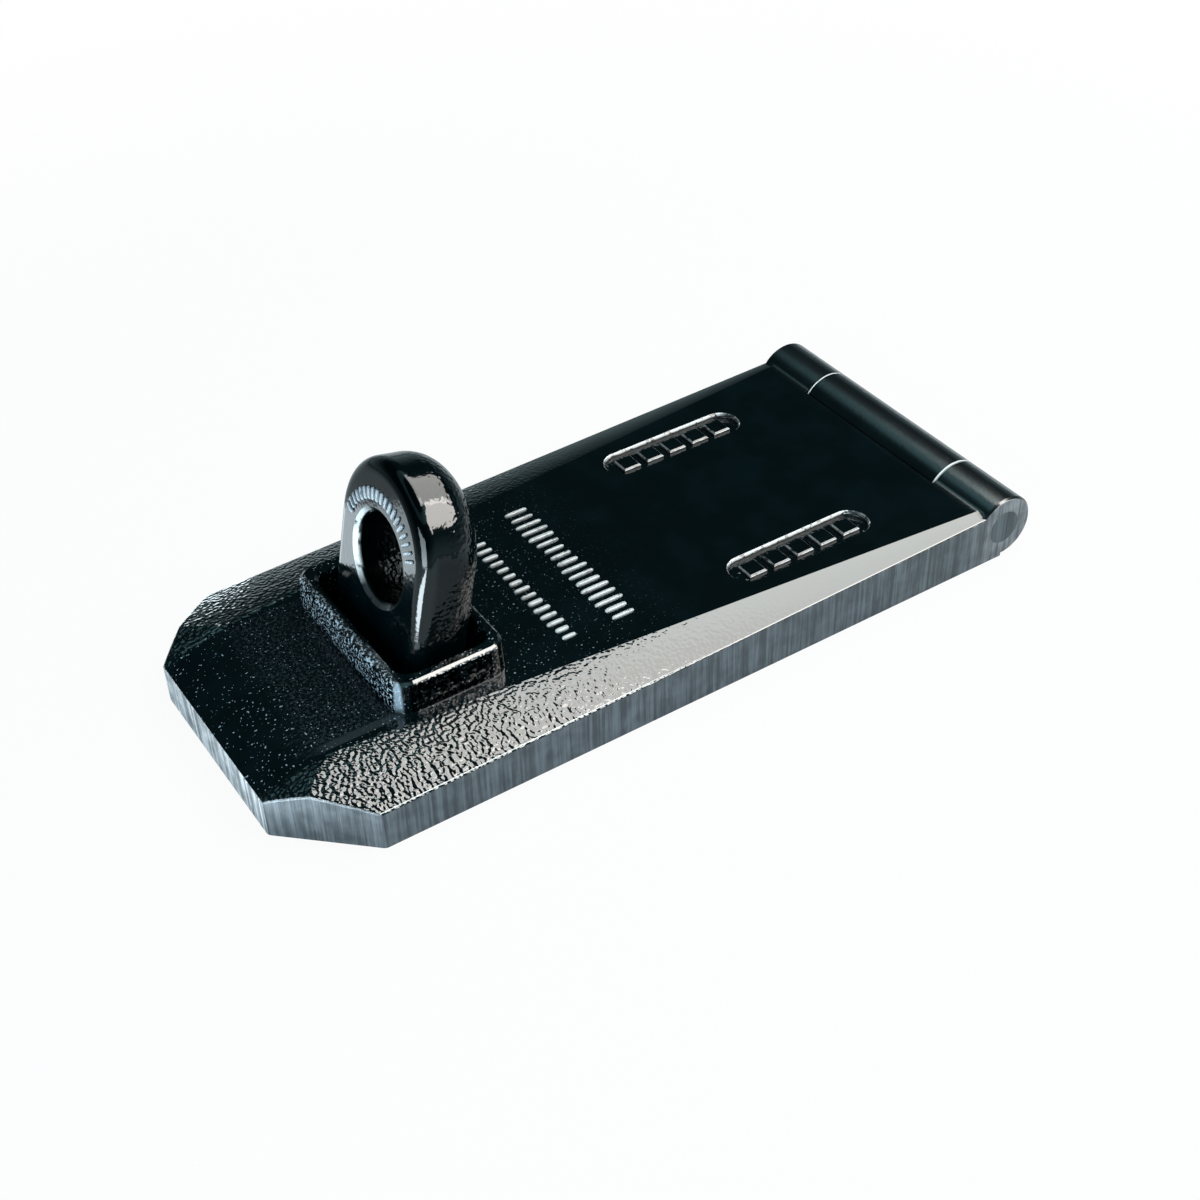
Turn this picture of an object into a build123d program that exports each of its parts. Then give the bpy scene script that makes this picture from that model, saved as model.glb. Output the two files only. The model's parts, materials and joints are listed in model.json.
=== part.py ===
from build123d import *
from math import cos, radians, sin, sqrt, tan
import os

# Padlock hasp: a forged cover leaf on a three-knuckle hinge, closing over a staple.
# Millimetres. +X runs towards the hinge, +Y is the far side, +Z is up, and z = 0 is
# the surface that the hasp is fixed to. The origin is under the middle of the leaf.

# Cover leaf, overall
total_length = 180.0        # free edge to the back of the barrel
leaf_width = 79.0
corner_cut_x = 17.0         # cut corners of the free end, along the leaf
corner_cut_y = 16.0         # and across it
corner_round = 1.6          # upright edges of the cut corners
plate_height = 13.0         # flat middle of the top face
front_edge_height = 8.6     # side wall at the free edge
free_side_height = 8.4      # side wall at the free end of the long sides
hinge_side_height = 12.4    # side wall at the hinge

# Rolled margins of the top face
front_roll = 16.8           # how far the front margin reaches back
side_roll_free = 17.5       # how far the side margins reach in, at the free edge
side_roll_hinge = 2.5       # and at the hinge axis
side_break = 8.0            # degrees, slope at which the side margins leave the flat middle
rim_round = 0.5             # where the rolled top meets the upright sides

# Hinge
barrel_radius = 7.6
barrel_lift = 0.3           # barrel clear of the surface below it
barrel_edge = 0.5           # chamfer round the barrel ends
pin_radius = 4.0
pin_running_fit = 0.06      # radial clearance in the middle knuckle
knuckle_length = 45.0       # middle knuckle
knuckle_end_gap = 0.4       # between neighbouring knuckles
barrel_sweep_gap = 0.9      # lip of the leaf to the middle knuckle
barrel_root_fillet = 1.8    # top of the leaf into the outer knuckles

# Underside pocket of the leaf
base_thickness = 5.0        # both fixing plates
cover_gap = 0.3             # leaf above the fixing plates
cover_wall = 8.0            # walls round the pocket
root_wall = 14.5            # hinge axis to the pocket, beside the middle knuckle
pocket_corner = 3.0

# Raised collar round the slot
collar_front = 30.0         # from the free edge
collar_length = 26.2
collar_side = 16.9          # from the long sides
collar_rise = 7.2
collar_draft = 3.0          # degrees
collar_corner = 4.5
collar_edge = 0.7           # chamfer round its top, inside and out
rim_front = 3.4             # walls of the collar, at its foot
rim_rear = 2.4
rim_side = 3.4
slot_corner = 3.5
slot_lead_in = 2.2          # wider mouth on the underside

# Oblong recesses near the hinge, each with a row of plain lands
recess_length = 36.0
recess_width = 8.2
recess_depth = 1.2
recess_edge = 0.35          # chamfer round each recess and each land
recess_from_axis = 45.0
recess_from_side = 15.9
land_count = 5
land_length = 4.4
land_gap = 1.9
land_width = 4.6
land_height = 0.9

# Staple
eye_front = 37.1            # front face from the free edge, level with the collar top
eye_lean = 12.2             # degrees towards the hinge, so that the slot swings past
eye_thickness = 15.2
eye_side_gap = 2.0          # each side of the eye to the slot
eye_head_rise = 17.1        # round head above the collar top, along the lean
eye_wall = 8.0              # steel beside the shackle hole
shackle_hole_rise = 13.8    # hole centre above the collar top, along the lean
eye_front_round = 3.0
eye_back_round = 7.6
hole_lip = 1.2              # chamfer round the front mouth of the hole
eye_foot_chamfer = 1.5
staple_base_length = 70.0
staple_base_corner = 10.0
plate_gap = 2.0             # fixing plates to the walls of the pocket

# Hinge plate
plate_spacing = 7.5         # between the two fixing plates
shoulder_gap = 2.4          # shoulders to the wall beside the middle knuckle
plate_corner = 3.0

# Fixing holes, countersunk on top
fixing_hole_radius = 4.25
fixing_sink_radius = 7.6
fixing_sink_angle = 90.0
fixing_edge = 11.5          # hole centre from the plate ends
fixing_side = 10.5          # and from the plate sides

# Worked-out places
front_x = -total_length / 2
axis_x = total_length / 2 - barrel_radius
axis_z = barrel_lift + barrel_radius
half_width = leaf_width / 2
half_knuckle = knuckle_length / 2
notch_half = half_knuckle + knuckle_end_gap
lip_radius = barrel_radius + barrel_sweep_gap
root_x = axis_x - sqrt(barrel_radius ** 2 - (plate_height - axis_z) ** 2)
pocket_top = base_thickness + cover_gap
pocket_back = axis_x - root_wall
plate_half = half_width - cover_wall - plate_gap
collar_x0 = front_x + collar_front
collar_x1 = collar_x0 + collar_length
collar_top = plate_height + collar_rise
collar_half = half_width - collar_side
slot_x0 = collar_x0 + rim_front
slot_x1 = collar_x1 - rim_rear
slot_half = collar_half - rim_side
staple_x0 = front_x + cover_wall + plate_gap
staple_x1 = staple_x0 + staple_base_length
hinge_plate_x1 = pocket_back - shoulder_gap
hinge_plate_x0 = staple_x1 + plate_spacing
recess_x = axis_x - recess_from_axis
recess_y = half_width - recess_from_side
fixing_y = plate_half - fixing_side
lean = radians(eye_lean)
eye_half_width = slot_half - eye_side_gap
shackle_hole_radius = eye_half_width - eye_wall
eye_foot_x = front_x + eye_front - (collar_top - base_thickness) * tan(lean) + eye_thickness / 2

# For building only
cutter_margin = 5.0         # how far a cutter runs past what it cuts
near = 0.01                 # slack when edges are picked by where they are
mostly = 0.8                # share of an edge's direction that counts as along an axis


def block(x0, x1, y0, y1, z0, z1):
    """Plain block between two corners."""
    return Pos((x0 + x1) / 2, (y0 + y1) / 2, (z0 + z1) / 2) * Box(x1 - x0, y1 - y0, z1 - z0)


def hinge_cylinder(radius, half_length):
    """Cylinder on the hinge axis."""
    return Pos(axis_x, 0, axis_z) * Rot(90, 0, 0) * Cylinder(radius, 2 * half_length)


def leaf_plan(back):
    """Plan of the leaf with its two cut corners, as a face at z = 0."""
    return make_face(Polyline(
        (front_x, corner_cut_y - half_width), (front_x + corner_cut_x, -half_width), (back, -half_width),
        (back, half_width), (front_x + corner_cut_x, half_width), (front_x, half_width - corner_cut_y),
        close=True,
    ))


def crown_section(x):
    """Section across the leaf at x: upright sides, rolled margins and a flat middle."""
    share = (x - front_x) / (axis_x - front_x)
    side = free_side_height + (hinge_side_height - free_side_height) * share
    flat = half_width - side_roll_free - (side_roll_hinge - side_roll_free) * share
    leave_x = cos(radians(side_break))
    leave_z = -sin(radians(side_break))
    outline = [
        Line((-half_width, side), (-half_width, 0)),
        Line((-half_width, 0), (half_width, 0)),
        Line((half_width, 0), (half_width, side)),
        TangentArc((flat, plate_height), (half_width, side), tangent=(leave_x, leave_z)),
        Line((flat, plate_height), (-flat, plate_height)),
        TangentArc((-flat, plate_height), (-half_width, side), tangent=(-leave_x, leave_z)),
    ]
    return Plane.YZ.offset(x) * make_face(outline)


def front_profile():
    """Side view of the leaf: the top rolls down to the free edge."""
    roll_x = front_x + front_roll
    outline = [
        TangentArc((roll_x, plate_height), (front_x, front_edge_height), tangent=(-1, 0)),
        Line((front_x, front_edge_height), (front_x, 0)),
        Line((front_x, 0), (axis_x, 0)),
        Line((axis_x, 0), (axis_x, plate_height)),
        Line((axis_x, plate_height), (roll_x, plate_height)),
    ]
    return Plane.XZ * make_face(outline)


def forged_plate():
    """Plate of the leaf, before the collar, slot, pocket and hinge."""
    crown = loft([crown_section(front_x), crown_section(axis_x)], ruled=True)
    plan = extrude(leaf_plan(axis_x), plate_height)
    corners = plan.edges().filter_by(Axis.Z).sort_by(Axis.X)[:4]
    side_view = extrude(front_profile(), leaf_width / 2, both=True)
    plate = crown & fillet(corners, corner_round) & side_view
    walls = plate.faces().filter_by(lambda face: abs(face.normal_at().Z) < near
                                    and face.center().X < axis_x - near)
    borders = ShapeList([edge for wall in walls for edge in wall.edges()])
    rim = borders.filter_by(lambda edge: edge.center().Z > free_side_height - rim_round
                            and abs(edge.tangent_at(0.5).Z) < mostly)
    return fillet(rim, rim_round)


def outer_barrel(leaf):
    """Leaf with the hinge barrel across its end, blended into its top."""
    barrel = hinge_cylinder(barrel_radius, half_width)
    leaf += chamfer(barrel.edges().filter_by(GeomType.CIRCLE), barrel_edge)
    root = leaf.edges().filter_by(lambda edge: abs(edge.center().X - root_x) < barrel_edge
                                  and edge.center().Z > plate_height - barrel_edge
                                  and abs(edge.tangent_at(0.5).Y) > mostly)
    return fillet(root, barrel_root_fillet)


def collar_block():
    """Drafted block that stands round the slot."""
    plan = Pos((collar_x0 + collar_x1) / 2, 0, plate_height) * RectangleRounded(
        collar_length, 2 * collar_half, collar_corner)
    return extrude(plan, collar_rise, taper=collar_draft)


def slot_cutter():
    """Slot for the eye, with a wider mouth on the underside."""
    middle = (slot_x0 + slot_x1) / 2
    length = slot_x1 - slot_x0
    height = collar_top + cutter_margin - pocket_top
    plan = RectangleRounded(length, 2 * slot_half, slot_corner)
    mouth_length = length + 2 * slot_lead_in
    mouth_width = 2 * (slot_half + slot_lead_in)
    mouth = RectangleRounded(mouth_length, mouth_width, slot_corner + slot_lead_in)
    through = Pos(middle, 0, pocket_top) * extrude(plan, height)
    lead_in = Pos(middle, 0, pocket_top) * extrude(mouth, slot_lead_in, taper=45)
    return through + lead_in


def pocket_cutter():
    """Pocket that covers both fixing plates, open towards the middle knuckle."""
    inside = offset(leaf_plan(axis_x + 2 * cover_wall), -cover_wall, kind=Kind.INTERSECTION)
    pocket = extrude(inside, pocket_top) & block(front_x, pocket_back, -half_width, half_width, 0, pocket_top)
    pocket = fillet(pocket.edges().filter_by(Axis.Z), pocket_corner)
    web_way = block(pocket_back - pocket_corner, axis_x, -notch_half, notch_half, 0, pocket_top)
    return pocket + web_way


def recess_cutters():
    """Two oblong recesses, each leaving a row of plain lands."""
    cutters = []
    pitch = land_length + land_gap
    floor = plate_height - recess_depth
    land = Box(land_length, land_width, land_height)
    land = chamfer(land.faces().sort_by(Axis.Z)[-1].edges(), recess_edge)
    oblong = SlotOverall(recess_length, recess_width)
    mouth = extrude(oblong, 2 * recess_edge, taper=-45)
    for y in (-recess_y, recess_y):
        recess = Pos(recess_x, y, floor) * extrude(oblong, recess_depth)
        recess += Pos(recess_x, y, plate_height - recess_edge) * mouth
        for number in range(land_count):
            x = recess_x + (number - (land_count - 1) / 2) * pitch
            recess -= Pos(x, y, floor + land_height / 2) * land
        cutters.append(recess)
    return cutters


def hasp_leaf():
    """Cover leaf with its two outer knuckles, one forging."""
    leaf = outer_barrel(forged_plate()) + collar_block() - slot_cutter()
    rims = leaf.edges().filter_by(lambda edge: abs(edge.center().Z - collar_top) < near)
    leaf = chamfer(rims, collar_edge)
    leaf -= pocket_cutter()
    leaf -= hinge_cylinder(lip_radius, notch_half)
    behind = total_length / 2 + cutter_margin
    leaf -= block(axis_x, behind, -notch_half, notch_half, -cutter_margin, collar_top)
    leaf -= hinge_cylinder(pin_radius, half_width)
    for cutter in recess_cutters():
        leaf -= cutter
    return leaf


def fixing_cutter(x, y):
    """Countersunk through hole for a fixing, sunk from the top of a fixing plate."""
    sink_depth = (fixing_sink_radius - fixing_hole_radius) / tan(radians(fixing_sink_angle / 2))
    hole = Cylinder(fixing_hole_radius, base_thickness + cutter_margin)
    sink = Cone(fixing_hole_radius, fixing_sink_radius, sink_depth)
    return Pos(x, y, base_thickness / 2) * hole + Pos(x, y, base_thickness - sink_depth / 2) * sink


def fixing_pattern(x0, x1):
    """Four fixing holes near the ends of a plate that runs from x0 to x1."""
    cutters = Part()
    for x in (x0 + fixing_edge, x1 - fixing_edge):
        for y in (-fixing_y, fixing_y):
            cutters += fixing_cutter(x, y)
    return cutters


def hinge_plate():
    """Fixed plate under the leaf with the middle knuckle."""
    plate = block(hinge_plate_x0, hinge_plate_x1, -plate_half, plate_half, 0, base_thickness)
    plate = fillet(plate.edges().filter_by(Axis.Z), plate_corner)
    web = block(hinge_plate_x1 - plate_corner, axis_x, -half_knuckle, half_knuckle, 0, base_thickness)
    knuckle = hinge_cylinder(barrel_radius, half_knuckle)
    plate = plate + web + knuckle
    plate -= hinge_cylinder(pin_radius + pin_running_fit, half_knuckle)
    return plate - fixing_pattern(hinge_plate_x0, hinge_plate_x1)


def hinge_pin():
    """Hardened pin, ground flush with the outer knuckles."""
    return hinge_cylinder(pin_radius, half_width)


def eye_body():
    """Leaning stirrup with a round head and the shackle hole."""
    start = (front_x + eye_front, 0, collar_top)
    face = Plane(origin=start, x_dir=(0, -1, 0), z_dir=(-cos(lean), 0, sin(lean)))
    foot = collar_top / cos(lean)
    outline = [
        Line((-eye_half_width, eye_head_rise), (-eye_half_width, -foot)),
        Line((-eye_half_width, -foot), (eye_half_width, -foot)),
        Line((eye_half_width, -foot), (eye_half_width, eye_head_rise)),
        ThreePointArc((eye_half_width, eye_head_rise), (0, eye_head_rise + eye_half_width),
                      (-eye_half_width, eye_head_rise)),
    ]
    stirrup = extrude(face * make_face(outline), -eye_thickness)
    stirrup = split(stirrup, Plane.XY.offset(base_thickness / 2), keep=Keep.TOP)
    by_depth = stirrup.faces().sort_by(Axis(face.origin, face.z_dir))
    front_edges = by_depth[-1].edges().filter_by(lambda edge: edge.center().Z > base_thickness)
    stirrup = fillet(front_edges, eye_front_round)
    by_depth = stirrup.faces().sort_by(Axis(face.origin, face.z_dir))
    back_edges = by_depth[0].edges().filter_by(lambda edge: edge.center().Z > base_thickness)
    stirrup = fillet(back_edges, eye_back_round)
    hole = Cylinder(shackle_hole_radius, 2 * eye_thickness)
    stirrup -= face * Pos(0, shackle_hole_rise, -eye_thickness / 2) * hole
    mouths = stirrup.edges().filter_by(GeomType.CIRCLE).filter_by(
        lambda edge: abs(edge.radius - shackle_hole_radius) < near)
    front_mouth = mouths.sort_by(Axis(face.origin, face.z_dir))[-1]
    return chamfer(front_mouth, hole_lip)


def staple():
    """Staple: the eye and its fixing plate, one forging."""
    base = block(staple_x0, staple_x1, -plate_half, plate_half, 0, base_thickness)
    upright = base.edges().filter_by(Axis.Z).sort_by(Axis.X)
    base = chamfer(upright[:2], staple_base_corner)
    base = fillet(base.edges().filter_by(Axis.Z).sort_by(Axis.X)[-2:], plate_corner)
    forging = base + eye_body()
    foot = forging.edges().filter_by(lambda edge: abs(edge.center().Z - base_thickness) < near
                                     and abs(edge.center().Y) < eye_half_width + near
                                     and abs(edge.center().X - eye_foot_x) < eye_thickness)
    forging = chamfer(foot, eye_foot_chamfer)
    return forging - fixing_pattern(staple_x0, staple_x1)


parts = {
    "hasp_leaf": hasp_leaf(),
    "hinge_plate": hinge_plate(),
    "hinge_pin": hinge_pin(),
    "staple": staple(),
}

os.makedirs("parts", exist_ok=True)
for name, solid in parts.items():
    export_step(solid, f"parts/{name}.step")
    box = solid.bounding_box()
    print(name, "volume", round(solid.volume / 1000, 2), "cm3, size", [round(v, 2) for v in box.size])
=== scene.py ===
# %% [markdown]
# # A forged padlock hasp, closed
# The object is a heavy hasp for a gate or a container. A long cover leaf swings on a pinned
# hinge and closes over a leaning eye, the staple, that takes the padlock's shackle. Both hidden
# fixing plates lie under the leaf. It is drop-forged steel: coarse and thick with gloss paint at
# the free end, smoother towards the hinge, with its long sides ground flat afterwards.
#
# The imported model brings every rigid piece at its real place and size, so this script only
# gives it its finish, its small raised marks, the lamps, the floor and the camera.

import json
from math import pi, radians

import bpy
from mathutils import Matrix, Vector

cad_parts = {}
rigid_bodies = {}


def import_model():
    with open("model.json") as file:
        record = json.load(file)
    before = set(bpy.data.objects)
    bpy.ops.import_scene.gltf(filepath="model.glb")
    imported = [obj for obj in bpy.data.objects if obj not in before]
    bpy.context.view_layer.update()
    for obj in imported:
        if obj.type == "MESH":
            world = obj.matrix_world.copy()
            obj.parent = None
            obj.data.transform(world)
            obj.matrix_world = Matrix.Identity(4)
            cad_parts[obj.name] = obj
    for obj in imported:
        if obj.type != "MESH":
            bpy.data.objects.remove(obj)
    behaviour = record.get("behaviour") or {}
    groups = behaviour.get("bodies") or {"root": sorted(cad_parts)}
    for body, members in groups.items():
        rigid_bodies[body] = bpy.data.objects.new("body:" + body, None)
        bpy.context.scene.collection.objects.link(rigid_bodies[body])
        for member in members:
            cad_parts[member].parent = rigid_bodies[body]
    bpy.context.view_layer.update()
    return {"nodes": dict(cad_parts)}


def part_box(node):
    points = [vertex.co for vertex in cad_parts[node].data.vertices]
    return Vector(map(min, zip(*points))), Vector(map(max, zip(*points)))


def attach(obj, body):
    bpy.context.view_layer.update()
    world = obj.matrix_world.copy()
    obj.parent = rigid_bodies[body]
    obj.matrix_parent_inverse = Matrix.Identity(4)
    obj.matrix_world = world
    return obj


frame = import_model()
mm = 0.001

# %% [markdown]
# ## Camera
# The photograph looks down at the free end from its near left corner. The camera's place, its
# aim, its small roll and its lens were fitted to the corners, the hinge seams and the collar of
# the leaf, so they are plain numbers here. A lens of about 55 mm on a 36 mm sensor keeps some
# perspective: the hinge looks smaller than the free end.

# %% Camera
camera_place = Vector((-164.95, -262.64, 254.66)) * mm
camera_aim = Vector((0.57, -1.15, 0.0)) * mm
camera_roll = radians(-1.76)
camera_lens = 54.96
camera_sensor = 36.0


def add_camera():
    """The photograph's camera, as the scene's camera."""
    data = bpy.data.cameras.new("camera")
    data.lens = camera_lens
    data.sensor_width = camera_sensor
    camera = bpy.data.objects.new("camera", data)
    bpy.context.scene.collection.objects.link(camera)
    look = (camera_aim - camera_place).to_track_quat("-Z", "Y").to_matrix()
    turned = look @ Matrix.Rotation(camera_roll, 3, "Z")
    camera.matrix_world = Matrix.Translation(camera_place) @ turned.to_4x4()
    bpy.context.scene.camera = camera
    return camera


print("camera at", [round(v / mm) for v in add_camera().location], "mm")

# %% [markdown]
# ## Shader maths as plain expressions
# A finish is mostly arithmetic on coordinates and noise. `Value` wraps a socket and overloads
# the operators, so that `1 - mask * 0.5` adds its Math nodes by itself. `Shader` holds one
# material's node tree. Its `node` method adds any node from its type, settings and inputs.

# %% Shader helpers
class Value:
    """A number that varies over the surface, as the output socket that carries it."""

    def __init__(self, shader, socket):
        self.shader = shader
        self.socket = socket

    def math(self, operation, *others):
        return self.shader.math(operation, self, *others)

    def __add__(self, other):
        return self.math("ADD", other)

    def __sub__(self, other):
        return self.math("SUBTRACT", other)

    def __rsub__(self, other):
        return self.shader.math("SUBTRACT", other, self)

    def __mul__(self, other):
        return self.math("MULTIPLY", other)

    def __abs__(self):
        return self.math("ABSOLUTE")

    __radd__ = __add__
    __rmul__ = __mul__

    def fade(self, start, end):
        """0 at start, 1 at end, smooth in between."""
        settings = {"interpolation_type": "SMOOTHSTEP"}
        inputs = {"Value": self, "From Min": start, "From Max": end}
        return self.shader.value(self.shader.node("ShaderNodeMapRange", settings, inputs), "Result")


class Shader:
    """A material's node tree, ready for expressions."""

    def __init__(self, name):
        self.material = bpy.data.materials.new(name)
        self.material.use_nodes = True
        self.tree = self.material.node_tree
        self.tree.nodes.clear()
        self.output = self.tree.nodes.new("ShaderNodeOutputMaterial")

    def node(self, kind, settings=None, inputs=None):
        made = self.tree.nodes.new(kind)
        for name, setting in (settings or {}).items():
            setattr(made, name, setting)
        for name, given in (inputs or {}).items():
            if isinstance(given, Value):
                self.tree.links.new(given.socket, made.inputs[name])
            elif isinstance(given, bpy.types.NodeSocket):
                self.tree.links.new(given, made.inputs[name])
            else:
                made.inputs[name].default_value = given
        return made

    def value(self, made, output=0):
        return Value(self, made.outputs[output])

    def math(self, operation, *terms):
        inputs = dict(enumerate(terms))
        return self.value(self.node("ShaderNodeMath", {"operation": operation}, inputs))

    def place(self, scale=(1, 1, 1)):
        """Object coordinates in millimetres, each axis times its scale."""
        here = self.node("ShaderNodeTexCoord").outputs["Object"]
        inputs = {"Vector": here, "Scale": [s / mm for s in scale]}
        return self.node("ShaderNodeMapping", None, inputs).outputs["Vector"]

    def axes(self, vector):
        split = self.node("ShaderNodeSeparateXYZ", None, {0: vector})
        return [self.value(split, axis) for axis in "XYZ"]

    def noise(self, place, size, detail=2.0, roughness=0.5, distortion=0.0):
        """Soft noise, 0 to 1, with lumps about `size` millimetres across."""
        inputs = {"Vector": place, "Scale": 1 / size, "Detail": detail, "Roughness": roughness,
                  "Distortion": distortion}
        return self.value(self.node("ShaderNodeTexNoise", None, inputs), "Fac")

    def blend(self, factor, first, second):
        """Colour between two colours."""
        inputs = {0: factor, 6: first, 7: second}
        return self.node("ShaderNodeMix", {"data_type": "RGBA"}, inputs).outputs[2]

    def bump(self, height):
        """Normal of the surface raised by height, in millimetres."""
        inputs = {"Height": height, "Distance": mm}
        return self.node("ShaderNodeBump", None, inputs).outputs["Normal"]

    def surface(self, **inputs):
        """Principled surface, whose inputs are named with underscores."""
        named = {name.replace("_", " "): given for name, given in inputs.items()}
        finish = self.node("ShaderNodeBsdfPrincipled", None, named)
        self.tree.links.new(finish.outputs[0], self.output.inputs["Surface"])
        return self.material


# %% [markdown]
# ## Floor and background
# The photograph has a white table and no visible wall. The floor is a pale matt plane, so it
# catches the hasp's shadow. For camera rays it is mixed with a white glow of strength 1, which
# takes over far from the hasp. The world is white to the camera. To reflections it is a dark
# studio over a white table, with one dim ring high up: the flat middle of the leaf mirrors the
# dark wall, and the rolled front edge and the hinge barrels mirror the ring.

# %% Floor and world
floor_half = 2.0
floor_drop = 0.05 * mm
floor_glow = 0.94
fade_from = 150.0
fade_to = 420.0
matt_floor = (0.345, 0.385, 0.41, 1)
# Studio light by the height of the direction: horizon, dark wall, dim ring, dark ceiling
studio_stops = ((0.02, (0.28, 0.38, 0.40, 1)), (0.40, (0.012, 0.022, 0.026, 1)),
                (0.74, (0.012, 0.022, 0.026, 1)), (0.78, (0.34, 0.68, 0.73, 1)),
                (0.87, (0.34, 0.68, 0.73, 1)), (0.91, (0.02, 0.035, 0.04, 1)))


def floor_material():
    shader = Shader("white_table")
    glow = shader.node("ShaderNodeEmission", None, {"Color": (1, 1, 1, 1), "Strength": 1.0})
    matt = shader.node("ShaderNodeBsdfDiffuse", None, {"Color": matt_floor})
    path = shader.node("ShaderNodeLightPath")
    x, y, z = shader.axes(shader.place())
    away = (x * x + y * y).math("SQRT").fade(fade_from, fade_to)
    seen = shader.value(path, "Is Camera Ray") * (floor_glow + (1 - floor_glow) * away)
    inputs = {0: seen, 1: matt.outputs[0], 2: glow.outputs[0]}
    mix = shader.node("ShaderNodeMixShader", None, inputs)
    shader.tree.links.new(mix.outputs[0], shader.output.inputs["Surface"])
    return shader.material


def add_floor():
    mesh = bpy.data.meshes.new("floor")
    signs = ((-1, -1), (1, -1), (1, 1), (-1, 1))
    corners = [(x * floor_half, y * floor_half, -floor_drop) for x, y in signs]
    mesh.from_pydata(corners, [], [(0, 1, 2, 3)])
    mesh.materials.append(floor_material())
    floor = bpy.data.objects.new("floor", mesh)
    bpy.context.scene.collection.objects.link(floor)
    return floor


def set_world():
    world = bpy.data.worlds.new("studio")
    bpy.context.scene.world = world
    world.use_nodes = True
    tree = world.node_tree
    tree.nodes.clear()
    output = tree.nodes.new("ShaderNodeOutputWorld")
    mix = tree.nodes.new("ShaderNodeMixShader")
    white = tree.nodes.new("ShaderNodeBackground")
    studio = tree.nodes.new("ShaderNodeBackground")
    path = tree.nodes.new("ShaderNodeLightPath")
    direction = tree.nodes.new("ShaderNodeTexCoord")
    split = tree.nodes.new("ShaderNodeSeparateXYZ")
    ramp = tree.nodes.new("ShaderNodeValToRGB")
    white.inputs["Color"].default_value = (1, 1, 1, 1)
    stops = ramp.color_ramp.elements
    while len(stops) < len(studio_stops):
        stops.new(0.5)
    for stop, (height, colour) in zip(stops, studio_stops):
        stop.position = height
        stop.color = colour
    tree.links.new(direction.outputs["Generated"], split.inputs[0])
    tree.links.new(split.outputs["Z"], ramp.inputs[0])
    tree.links.new(ramp.outputs[0], studio.inputs["Color"])
    tree.links.new(path.outputs["Is Camera Ray"], mix.inputs[0])
    tree.links.new(studio.outputs[0], mix.inputs[1])
    tree.links.new(white.outputs[0], mix.inputs[2])
    tree.links.new(mix.outputs[0], output.inputs["Surface"])


add_floor()
set_world()
bpy.context.scene.view_settings.view_transform = "Standard"
print("floor", 2 * floor_half, "m wide, glow", floor_glow)

# %% [markdown]
# ## Lamps
# A glossy black thing is lit by what it mirrors. The top box hangs over the near side, where
# only the rolled near margin mirrors it: that is the light band along the leaf. The small
# box under its near edge and the window on the right are mirrored by the shoulder of the eye. The window
# is mirrored by every edge that faces the camera and up, too. It hangs high enough that the flat
# top of the hasp, seen from behind, mirrors it only in part. A long panel flat on the table and
# a large one standing behind it are mirrored by the rounded near edge of the eye, by the far lip
# of its hole and by the ground front. A small panel near the far side is mirrored by the eye's
# flat face. Each lamp is given by its radiance, as a mirror shows it.

# %% Lamps
warm_tint = (1.0, 0.975, 0.935)
cool_tint = (0.80, 0.93, 1.0)
hasp_middle = (-50, -15, 35)


def soft_box(name, centre, aim, width, height, radiance, tint, turn=0.0):
    """Rectangular lamp, in millimetres, that looks from its centre to aim."""
    data = bpy.data.lights.new(name, "AREA")
    data.shape = "RECTANGLE"
    data.size = width * mm
    data.size_y = height * mm
    data.energy = radiance * pi * data.size * data.size_y
    data.color = tint
    lamp = bpy.data.objects.new(name, data)
    bpy.context.scene.collection.objects.link(lamp)
    lamp.location = Vector(centre) * mm
    look = (Vector(aim) - Vector(centre)).to_track_quat("-Z", "Y").to_matrix()
    lamp.rotation_euler = (Matrix.Rotation(radians(turn), 3, "Z") @ look).to_euler()
    lamp.visible_camera = False
    print("soft box", name, round(data.energy, 2), "W")


soft_box("top_box", (350, 67.5, 600), (350, 67.5, 0), 560, 525, 5.7, warm_tint)
soft_box("shoulder_box", (160, -130, 596), (160, -130, 0), 180, 130, 5.0, warm_tint)
soft_box("front_window", (459, -459, 633), hasp_middle, 585, 375, 12.0, warm_tint)
soft_box("near_panel", (-258, -180, 2), (-258, -180, 9), 420, 44, 20.0, cool_tint, turn=46.6)
soft_box("near_strip", (-600, -350, 200), hasp_middle, 420, 400, 13.0, cool_tint)
soft_box("far_panel", (-88, 60, 4), (-88, 60, 9), 60, 34, 3.0, cool_tint)

# %% [markdown]
# ## Paint over the forged skin
# The paint is black gloss with a little blue-green in it. Under it the forged skin is pitted
# and lumpy at the free end, on the rolled margins and on the eye, and nearly smooth by the
# hinge. The lumps are one bump from noise, whose depth in millimetres varies. The barrels are a
# little duller than the plate. The long sides, the cut corners, the front wall and the knuckle
# ends were ground: they are grey, duller and streaked upright. The front wall, and a little the
# cut corners and knuckle ends, are painted paler still: a painted reflection of the bright table.
# The front wall of the collar is rougher and bumpy with specks, whose light colour is a painted
# sheen. Light lines on edges and lips and glints on the free end are painted highlights. Some
# walls of the collar and parts of the eye are metallic over the near-black paint, which kills their
# reflections: painted shade. Faces that the closed leaf hides are a dull satin black.
#
# Masks come from Object coordinates in millimetres, so every one moves with its piece.

# %% Paint materials
paint_dark = (0.0002, 0.0015, 0.0020, 1)
paint_light = (0.0006, 0.0028, 0.0036, 1)
ground_dark = (0.026, 0.034, 0.041, 1)
ground_light = (0.098, 0.118, 0.134, 1)
# Paler ground colours for the front wall: a painted reflection of the bright table it faces
front_dark = (0.17, 0.18, 0.19, 1)
front_light = (0.70, 0.71, 0.73, 1)
# Colour of painted highlights: light lines on edges and lips that stand in for reflections
painted_highlight = (0.50, 0.54, 0.55, 1)
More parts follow.
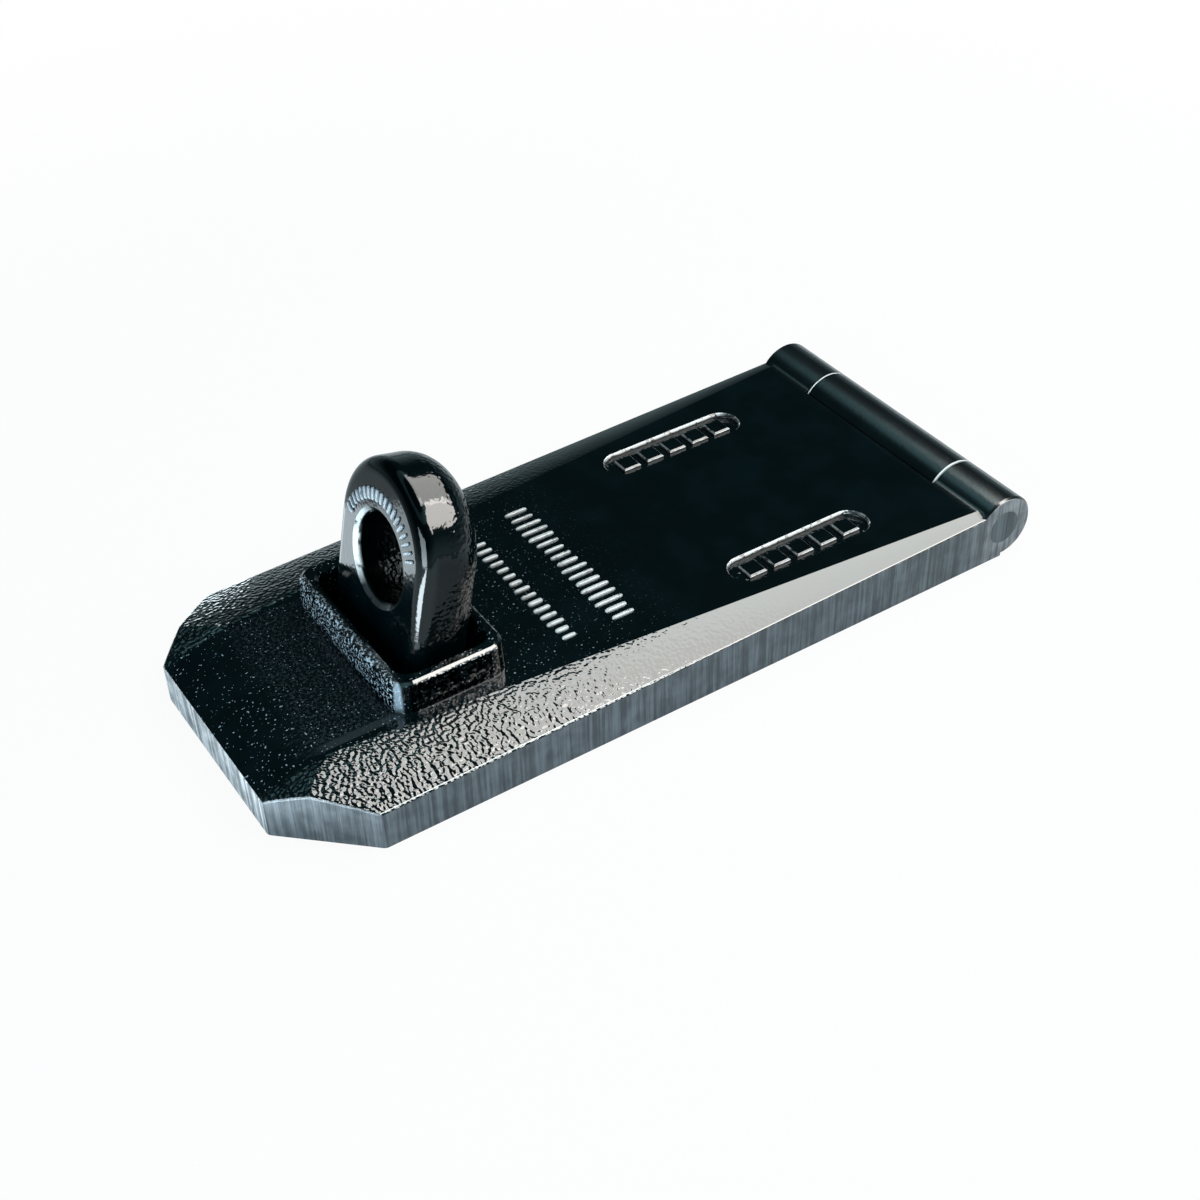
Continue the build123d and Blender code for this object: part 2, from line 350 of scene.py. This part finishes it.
# Colour of painted sparkle: the collar front's light specks (painted sheen) and the free end's glints
# (painted highlight)
painted_sparkle = (0.23, 0.31, 0.37, 1)
paint_roughness = 0.08
paint_index = 1.8
ground_metal = 0.35
barrel_satin = 0.11
# Hidden faces lie below hidden_top and end short of the barrel
hidden_satin = 0.30
hidden_dull = 0.9
hidden_top = 5.6
plate_end = (74.0, 72.0)
# Relief of the forged skin, in millimetres
lump_size = 0.85
lump_depth = 0.33
flat_depth = 0.07
swell_depth = 0.03
peel_depth = 0.012
streak_depth = 0.05
# Sizes and places on the leaf, in millimetres
low, high = [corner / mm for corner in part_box("hasp_leaf")]
cut_x = 17.0
cut_y = 16.0
plate_top = 13.0
roll_free = 17.5
roll_hinge = 2.5
hinge_x = 82.4
recess_ends = (17.0, 58.0)
recess_y = 23.6
recess_floor = 11.8
land_top = 12.7
collar_x = -60.0
knuckle_end = 22.5


def forged_height(shader, coarse):
    """Height of the forged skin, in millimetres. coarse says how deep the lumps are, 0 to 1."""
    here = shader.place()
    lumps = shader.noise(here, lump_size, detail=0.4, roughness=0.4)
    swell = shader.noise(here, 9.0, detail=1.0)
    peel = shader.noise(here, 0.6, detail=2.0)
    return lumps * (coarse * lump_depth) + swell * swell_depth + peel * peel_depth


def paint_colour(shader):
    cloud = shader.noise(shader.place(), 9.0, detail=3.0).fade(0.35, 0.75)
    return shader.blend(cloud, paint_dark, paint_light)


def along_recess(x):
    """1 along the recesses, 0 before and past them."""
    start, end = recess_ends
    return x.fade(start, start + 1.0) * x.fade(end, end - 1.0)


def recess_walls(shader, x, y, z):
    """Steep walls of the recesses and their lands: all of them, and those that face -Y."""
    across = y - y.math("SIGN") * recess_y
    walls = along_recess(x) * abs(across).fade(4.6, 4.3)
    walls = walls * z.fade(plate_top, plate_top - 0.03) * z.fade(recess_floor, recess_floor + 0.05)
    walls = walls * abs(z - land_top).fade(0.02, 0.05)
    land_side = across.fade(-2.15, -2.25) * across.fade(-2.9, -2.6)
    return walls, walls * (0.2 + 0.8 * across.fade(2.9, 3.6).math("MAXIMUM", land_side))


def leaf_paint():
    """Paint of the leaf, with its ground outer walls."""
    shader = Shader("leaf_paint_finish")
    here = shader.place()
    x, y, z = shader.axes(here)
    share = (x - low.x) * (1 / (hinge_x - low.x))
    past_crease = abs(y) - (high.y - roll_free) - (roll_free - roll_hinge) * share
    margin = past_crease.fade(-1.5, 1.5)
    on_collar = (z - plate_top).fade(0.1, 0.4) * x.fade(0.0, -10.0)
    barrel = x.fade(74.0, 77.0)
    coarse = 0.01 + 0.02 * x.fade(60.0, 30.0) + 0.97 * x.fade(35.0, -68.0)
    collar_face = on_collar * z.fade(19.6, 19.9)
    coarse = coarse * (flat_depth + (1 - flat_depth) * margin) * (1 - 0.7 * collar_face)
    pitted = (plate_top - z).fade(0.9, 1.1) * along_recess(x)
    coarse = coarse + pitted * z.fade(10.5, 11.5) * abs(y).fade(29.0, 28.5) * 0.35
    side = abs(y).fade(high.y - 0.10, high.y - 0.03)
    front = (low.x - x).fade(-0.22, -0.12)
    along_cut = (x - low.x) * (1 / cut_x) + (high.y - abs(y)) * (1 / cut_y)
    corner = along_cut.fade(1.022, 1.012)
    ground = side.math("MAXIMUM", front).math("MAXIMUM", corner)
    hidden = z.fade(hidden_top, hidden_top - 0.2) * x.fade(*plate_end)
    hidden = hidden.math("MAXIMUM", z.fade(1.2, 0.8) * x.fade(hinge_x, hinge_x - 2.0)) * (1 - ground)
    # painted_reflection: ground faces painted paler to stand for the bright table they mirror; fully on the
    # front wall, a little on the cut corners and knuckle ends
    painted_reflection = front.math("MAXIMUM", corner * 0.05).math("MAXIMUM", x.fade(70.0, 84.0) * 0.24)
    # edge: a painted highlight, a light line along the long top edges at the free end
    edge = abs(y).fade(high.y - 0.54, high.y - 0.48) * abs(y).fade(high.y - 0.34, high.y - 0.40)
    walls, near_walls = recess_walls(shader, x, y, z)
    patches = shader.noise(here, 1.1, detail=2.0).fade(0.36, 0.48)
    # The near walls of the recesses get the painted highlight too, in patches
    near_walls = near_walls * z.fade(plate_top - 0.72, plate_top - 0.62) * patches
    edge = (edge * x.fade(10.0, -30.0)).math("MAXIMUM", near_walls)
    # collar_front: the collar's front wall, whose light specks are a painted sheen over real bumps and a
    # rougher finish
    collar_front = x.fade(collar_x + 2.2, collar_x + 1.6) * z.fade(12.6, 15.5) * abs(y).fade(22.4, 22.0)
    facet = y.fade(-19.8, -20.6) * x.fade(-56.3, -57.3)
    streaks = shader.noise(shader.place((1, 1, 0.03)), 0.7, detail=3.0, roughness=0.65)
    blotch = shader.noise(here, 3.2, detail=3.0)
    speckle = shader.noise(here, 0.65, detail=2.0, roughness=0.7).fade(0.52, 0.60)
    speckle = speckle.math("MAXIMUM", facet * 0.8)
    grain = (streaks * 0.8 + blotch * 0.35).fade(0.43, 0.76)
    grey = shader.blend(grain, shader.blend(painted_reflection, ground_dark, front_dark),
                        shader.blend(painted_reflection, ground_light, front_light))
    glint = shader.noise(here, 0.5, detail=0.0).fade(0.74, 0.80) * x.fade(10.0, -40.0)
    glint = glint * (1 - margin) * z.fade(7.9, 8.3) * 0.6
    # Light specks on the collar's front and glints on the free end: painted sheen and painted highlights
    black = shader.blend((collar_front * speckle).math("MAXIMUM", glint), paint_colour(shader), painted_sparkle)
    collar_wall = on_collar * (1 - collar_face)
    # Metallic over the near-black paint kills reflections: painted shade on the collar's near wall and
    # front wall, between the specks
    darkened = collar_wall * y.fade(-19.0, -21.0).math("MAXIMUM", x.fade(-57.5, -58.5)) * (1 - speckle)
    black = shader.blend(edge, black, painted_highlight)
    height = forged_height(shader, coarse * (1 - ground) * (1 - hidden)) + streaks * (ground * streak_depth)
    height = height + speckle * (collar_front * 0.08)
    roughness = paint_roughness + ground * (0.34 + 0.12 * blotch) + collar_front * 0.15 + edge * 0.3
    roughness = roughness + walls * 0.3 + barrel * (1 - ground) * barrel_satin
    roughness = roughness + hidden * hidden_satin
    return shader.surface(Base_Color=shader.blend(ground, black, grey), Roughness=roughness,
                          Metallic=ground * ground_metal + darkened + hidden * hidden_dull, IOR=paint_index,
                          Normal=shader.bump(height))


# The hole's axis and the eye's own up, in the plane of its front face
hole_middle = Vector((-49.98, 0.0, 33.69))
eye_up = Vector((0.2113, 0.0, 0.9774))


def staple_paint():
    """Paint of the staple: glossy, lumpy low down and at the back, with a painted highlight on the hole's
    front lip and painted shade inside the hole, on the top of the front face and on its near side.
    """
    shader = Shader("staple_paint_finish")
    x, y, z = shader.axes(shader.place())
    up = (x - hole_middle.x) * eye_up.x + (z - hole_middle.z) * eye_up.z
    reach = (up * up + y * y).math("SQRT")
    bore = reach.fade(9.5, 9.3)
    depth = (x - hole_middle.x) * eye_up.z - (z - hole_middle.z) * eye_up.x
    lip = reach.fade(10.6, 10.3) * reach.fade(9.5, 9.8) * depth.fade(1.4, 1.0)
    # lip_highlight: a painted highlight on the hole's front lip, strongest on its far side, in patches, and
    # rougher there
    lip_highlight = lip * (0.04 + 0.96 * y.fade(4.0, 9.0)) * shader.noise(shader.place(), 2.0).fade(0.25, 0.50)
    coarse = 0.05 + 0.55 * z.fade(46.0, 24.0) * depth.fade(2.0, 8.0) + 0.4 * depth.fade(5.0, 10.0)
    hidden = z.fade(hidden_top, hidden_top - 0.4)
    roughness = paint_roughness + bore * 0.1 + lip_highlight * 0.25 + hidden * hidden_satin
    # Metallic over the near-black paint kills reflections: painted shade on the top of the front face, on
    # the near side and inside the hole; hidden faces are darkened too
    face_top = depth.fade(2.5, 1.5) * up.fade(4.0, 13.0) * 0.65
    near_side = y.fade(-15.5, -16.8) * depth.fade(2.0, 4.0) * 0.45
    darkened = face_top.math("MAXIMUM", near_side).math("MAXIMUM", bore * 0.85) * (1 - lip_highlight)
    darkened = darkened.math("MAXIMUM", hidden * hidden_dull)
    colour = shader.blend(lip_highlight, paint_colour(shader), painted_highlight)
    return shader.surface(Base_Color=colour, Roughness=roughness, Metallic=darkened, IOR=1.5,
                          Normal=shader.bump(forged_height(shader, coarse)))


def hinge_paint():
    """Smooth paint of the middle knuckle and its plate, with a painted highlight on the upper part of the
    knuckle's end edges.
    """
    shader = Shader("hinge_paint_finish")
    x, y, z = shader.axes(shader.place())
    # edge: a painted highlight on the knuckle's end edges
    edge = abs(y).fade(knuckle_end - 0.36, knuckle_end - 0.28) * z.fade(9.0, 10.0)
    colour = shader.blend(edge, paint_colour(shader), painted_highlight)
    coarse = shader.noise(shader.place(), 20.0) * 0.08
    hidden = z.fade(hidden_top, hidden_top - 0.4) * x.fade(*plate_end)
    roughness = paint_roughness + barrel_satin + edge * 0.3 + hidden * (hidden_satin - barrel_satin)
    return shader.surface(Base_Color=colour, Roughness=roughness, Metallic=hidden * hidden_dull,
                          IOR=paint_index, Normal=shader.bump(forged_height(shader, coarse)))


def mark_finish(name, light):
    """Raised marks, lighter than the paint round them in broken patches: a painted highlight, with a little
    more roughness and bump there.
    """
    shader = Shader(name)
    patches = shader.noise(shader.place(), 1.6, detail=2.0).fade(0.15, 0.50)
    return shader.surface(Base_Color=shader.blend(patches, ground_dark, light),
                          Roughness=0.15 + patches * 0.15, IOR=paint_index,
                          Normal=shader.bump(patches * 0.04))


def pin_finish():
    """Pin, ground flush with the knuckles."""
    shader = Shader("pin_finish")
    streaks = shader.noise(shader.place((1, 1, 0.03)), 0.9, detail=3.0, roughness=0.65)
    grey = shader.blend(streaks.fade(0.3, 0.75), ground_dark, ground_light)
    return shader.surface(Base_Color=grey, Roughness=0.42, Metallic=ground_metal, Coat_Weight=0.15,
                          Normal=shader.bump(streaks * streak_depth))


finishes = {"hasp_leaf": leaf_paint, "staple": staple_paint, "hinge_plate": hinge_paint,
            "hinge_pin": pin_finish}
for node_name, finish in finishes.items():
    node = frame["nodes"][node_name]
    node.material_slots[0].material = finish()
    print(node_name, "has", node.material_slots[0].material.name)
# The marks' light colours are painted highlights on their tops
bar_paint = mark_finish("bar_finish", (0.32, 0.35, 0.36, 1))
pip_paint = mark_finish("pip_finish", (0.22, 0.26, 0.29, 1))

# %% [markdown]
# ## Raised marks
# Two rows of short raised bars stand on the leaf behind the collar, and an arc of small pips
# stands on the eye's front face over the hole. They are plain and evenly lit, and say nothing.
# They repeat, so Geometry Nodes make them: one rounded bar on each point of a line or an arc.
# Each tree ends in Realize Instances and Set Material, and its result becomes a plain mesh.

# %% Geometry Nodes helper
class Tree:
    """A Geometry Nodes tree with named inputs and one geometry output."""

    def __init__(self, name):
        self.group = bpy.data.node_groups.new(name, "GeometryNodeTree")
        self.group.interface.new_socket("Geometry", in_out="OUTPUT", socket_type="NodeSocketGeometry")
        self.start = self.group.nodes.new("NodeGroupInput")
        self.end = self.group.nodes.new("NodeGroupOutput")
        self.ids = {}

    def input(self, name, kind):
        made = self.group.interface.new_socket(name, in_out="INPUT", socket_type=kind)
        self.ids[name] = made.identifier
        return self.start.outputs[name]

    def node(self, kind, settings=None, inputs=None):
        made = self.group.nodes.new(kind)
        for name, setting in (settings or {}).items():
            setattr(made, name, setting)
        for name, given in (inputs or {}).items():
            if isinstance(given, bpy.types.NodeSocket):
                self.group.links.new(given, made.inputs[name])
            else:
                made.inputs[name].default_value = given
        return made

    def finish(self, geometry, material):
        real = self.node("GeometryNodeRealizeInstances", None, {0: geometry}).outputs[0]
        inputs = {"Geometry": real, "Material": material}
        painted = self.node("GeometryNodeSetMaterial", None, inputs)
        self.group.links.new(painted.outputs[0], self.end.inputs[0])

    def plain_mesh(self, name, values):
        """Run the tree with these input values and keep its result as a plain mesh."""
        holder = bpy.data.objects.new(name, bpy.data.meshes.new(name))
        bpy.context.scene.collection.objects.link(holder)
        modifier = holder.modifiers.new("tree", "NODES")
        modifier.node_group = self.group
        for key, given in values.items():
            modifier[self.ids[key]] = given
        graph = bpy.context.evaluated_depsgraph_get()
        mesh = bpy.data.meshes.new_from_object(holder.evaluated_get(graph), depsgraph=graph)
        mesh.name = name
        holder.modifiers.clear()
        holder.data = mesh
        return holder


def rounded_bar(tree, length, width, height, crease=0.35):
    """Bar with soft ends and edges."""
    size = tree.node("ShaderNodeCombineXYZ", None, {0: length, 1: width, 2: height}).outputs[0]
    block = tree.node("GeometryNodeMeshCube", None, {"Size": size}).outputs["Mesh"]
    inputs = {"Mesh": block, "Level": 3, "Edge Crease": crease}
    soft = tree.node("GeometryNodeSubdivisionSurface", None, inputs).outputs[0]
    return tree.node("GeometryNodeSetShadeSmooth", None, {0: soft}).outputs[0]


# %% Rows of bars
bar_rows = {"front_bars": (-19.4, -20.5, 15, 2.6, 3.8), "rear_bars": (-6.5, -21.0, 17, 2.65, 6.4)}
bar_width = 0.95
bar_height = 1.2


def bars_tree():
    tree = Tree("raised_bars")
    count = tree.input("Count", "NodeSocketInt")
    pitch = tree.input("Pitch", "NodeSocketFloat")
    length = tree.input("Length", "NodeSocketFloat")
    start = tree.input("Start", "NodeSocketVector")
    step = tree.node("ShaderNodeCombineXYZ", None, {1: pitch}).outputs[0]
    inputs = {"Count": count, "Start Location": start, "Offset": step}
    line = tree.node("GeometryNodeMeshLine", None, inputs).outputs[0]
    bar = rounded_bar(tree, length, bar_width * mm, bar_height * mm)
    varied = tree.node("FunctionNodeRandomValue", {"data_type": "FLOAT_VECTOR"},
                       {"Min": (0.66, 0.62, 0.85), "Max": (1.08, 1.12, 1.0), "Seed": 7}).outputs[0]
    inputs = {"Points": line, "Instance": bar, "Scale": varied}
    points = tree.node("GeometryNodeInstanceOnPoints", None, inputs)
    tree.finish(points.outputs[0], bar_paint)
    return tree


bars = bars_tree()
for row_name, (row_x, row_y, row_count, row_pitch, row_length) in bar_rows.items():
    values = {"Count": row_count, "Pitch": row_pitch * mm, "Length": row_length * mm,
              "Start": Vector((row_x, row_y, plate_top - 0.1)) * mm}
    row = bars.plain_mesh(row_name, values)
    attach(row, "leaf")
    print(row_name, len(row.data.polygons), "faces")

# %% Arc of pips on the eye
pip_radius = 13.2
pip_count = 19
pip_start = 28.0
pip_sweep = 130.0
pip_length = 2.7
pip_width = 0.75
pip_height = 1.0


def pips_tree():
    """Pips on an arc, each one along the arc's radius, in the plane of the eye's front face."""
    tree = Tree("eye_pips")
    radius = tree.input("Radius", "NodeSocketFloat")
    count = tree.input("Count", "NodeSocketInt")
    settings = {"mode": "RADIUS"}
    inputs = {"Resolution": count, "Radius": radius, "Start Angle": radians(pip_start),
              "Sweep Angle": radians(pip_sweep)}
    arc = tree.node("GeometryNodeCurveArc", settings, inputs).outputs[0]
    points = tree.node("GeometryNodeCurveToPoints", {"mode": "EVALUATED"}, {"Curve": arc})
    pip = rounded_bar(tree, pip_width * mm, pip_length * mm, pip_height * mm)
    place = tree.node("GeometryNodeInputPosition").outputs[0]
    settings = {"axis": "Y", "pivot_axis": "Z"}
    turn = tree.node("FunctionNodeAlignRotationToVector", settings, {"Vector": place}).outputs[0]
    inputs = {"Points": points.outputs[0], "Instance": pip, "Rotation": turn}
    pips = tree.node("GeometryNodeInstanceOnPoints", None, inputs).outputs[0]
    real = tree.node("GeometryNodeRealizeInstances", None, {0: pips}).outputs[0]
    inputs = {0: real, "Translation": hole_middle * mm,
              "Rotation": eye_plane.to_euler()}
    stood = tree.node("GeometryNodeTransform", None, inputs).outputs[0]
    tree.finish(stood, pip_paint)
    return tree


# The eye's front face plane: its own x runs along -Y, its y up the face, its z out of it
face_out = Vector((-eye_up.z, 0.0, eye_up.x))
eye_plane = Matrix((eye_up.cross(face_out), eye_up, face_out)).transposed()
pips = pips_tree().plain_mesh("eye_pips", {"Radius": pip_radius * mm, "Count": pip_count})
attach(pips, "mount")
print("eye_pips", len(pips.data.polygons), "faces")
